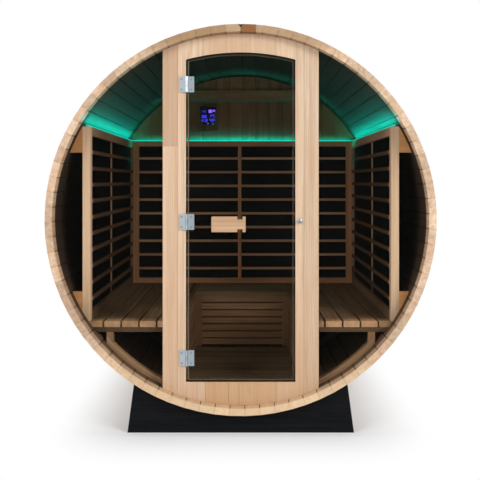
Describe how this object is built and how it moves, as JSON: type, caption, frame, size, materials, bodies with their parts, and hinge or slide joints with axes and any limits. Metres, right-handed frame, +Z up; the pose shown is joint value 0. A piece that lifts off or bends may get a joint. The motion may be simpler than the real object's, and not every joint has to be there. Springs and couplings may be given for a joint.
{
  "type": "barrel sauna",
  "caption": "Barrel-shaped timber sauna on a dark cradle base, with a glazed front, a hinged arched glass door, and slatted benches and heater guards inside.",
  "frame": {"origin": "on the ground under the middle of the barrel's bounding box", "axes": "+X to the right seen from the front, +Y back from the glazed front, +Z up"},
  "size_m": [1.9639, 1.6, 2.0673],
  "materials": {
    "stave_wood": "oiled softwood staves",
    "front_wood": "planed pale softwood",
    "inside_wood": "planed softwood",
    "handle_wood": "sanded softwood",
    "dark_base": "charcoal stain",
    "clear_glass": "clear toughened glass",
    "bright_steel": "satin stainless steel",
    "heater_black": "matt black heating laminate",
    "screen_black": "gloss black touch screen",
    "light_strip": "frosted diffuser"
  },
  "bodies": {
    "cabin": {"back_batten": "inside_wood", "back_guard_frame": "inside_wood", "back_guard_slats": "inside_wood", "back_heater_panels": "heater_black", "back_wall": "inside_wood", "band_clamps": "bright_steel", "bench_cleats": "inside_wood", "bench_frames": "inside_wood", "bench_front_back": "inside_wood", "bench_front_left": "inside_wood", "bench_front_right": "inside_wood", "bench_planks_back": "inside_wood", "bench_planks_left": "inside_wood", "bench_planks_right": "inside_wood", "control_plate": "inside_wood", "control_screen": "screen_black", "cradle_front": "dark_base", "cradle_rear": "dark_base", "door_catch": "bright_steel", "floor_bearers": "inside_wood", "floor_boards": "inside_wood", "front_header": "front_wood", "front_sill": "front_wood", "front_stile_left": "front_wood", "front_stile_right": "front_wood", "hinge_frame_leaves": "bright_steel", "light_strips": "light_strip", "side_guard_frames": "inside_wood", "side_guard_slats": "inside_wood", "side_heater_panels": "heater_black", "side_infills": "inside_wood", "staves_bottom_left": "stave_wood", "staves_bottom_right": "stave_wood", "staves_lower_left": "stave_wood", "staves_lower_right": "stave_wood", "staves_top_left": "stave_wood", "staves_top_right": "stave_wood", "staves_upper_left": "stave_wood", "staves_upper_right": "stave_wood", "steel_bands": "bright_steel", "window_left": "clear_glass", "window_right": "clear_glass"},
    "door": {"door_glass": "clear_glass", "door_handle": "handle_wood", "hinge_door_leaves": "bright_steel"}
  },
  "joints": [
    {"name": "door_hinge", "type": "hinge", "parent": "cabin", "child": "door", "pos_m": [-0.273, -0.767, 1.073], "axis": [0, 0, -1], "range_deg": [0, 110]}
  ]
}
